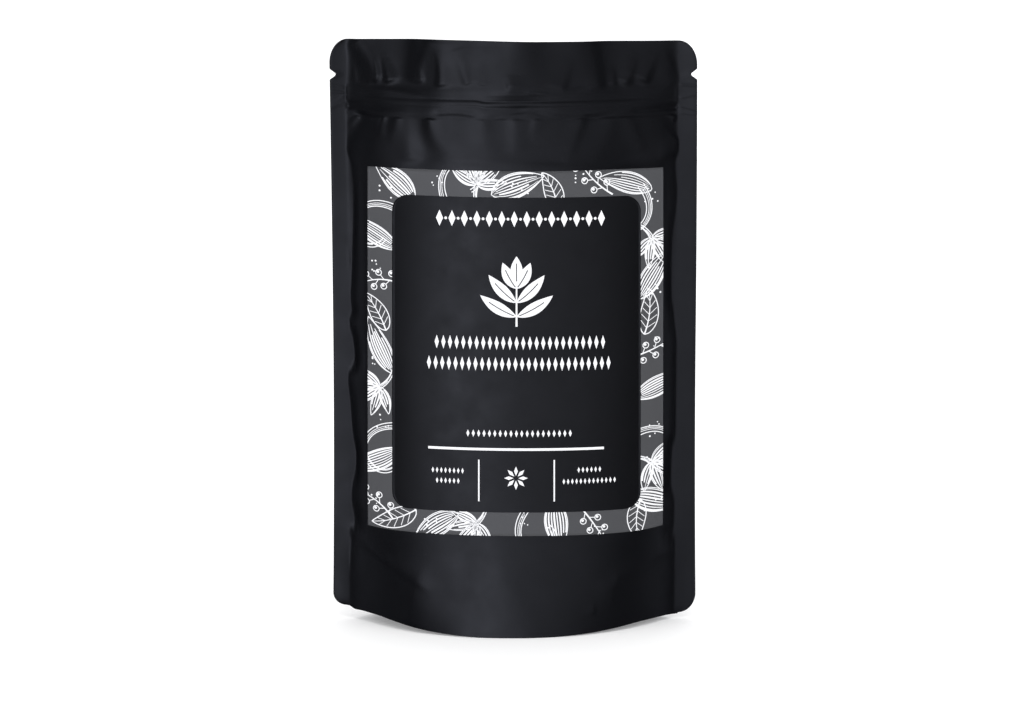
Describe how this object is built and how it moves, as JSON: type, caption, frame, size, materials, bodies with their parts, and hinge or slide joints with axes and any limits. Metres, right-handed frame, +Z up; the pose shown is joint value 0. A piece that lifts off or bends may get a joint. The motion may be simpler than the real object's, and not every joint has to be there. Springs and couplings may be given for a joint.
{
  "type": "stand-up pouch",
  "caption": "Filled stand-up pouch with side welds, a bottom gusset, a press-to-close zip, tear notches and a rectangular front label; stands on its base rim.",
  "frame": {"origin": "on the surface the pouch stands on, under the middle of its base", "axes": "+Z up along the pouch's height, +X to the right across the front, the front and its label look along -Y"},
  "size_m": [0.1321, 0.055, 0.2109],
  "materials": {
    "film": "soft-touch matte black laminate film",
    "label": "matte printed sticker, grey border round a black panel"
  },
  "bodies": {
    "root": {"pouch": "film", "label": "label"}
  },
  "joints": []
}
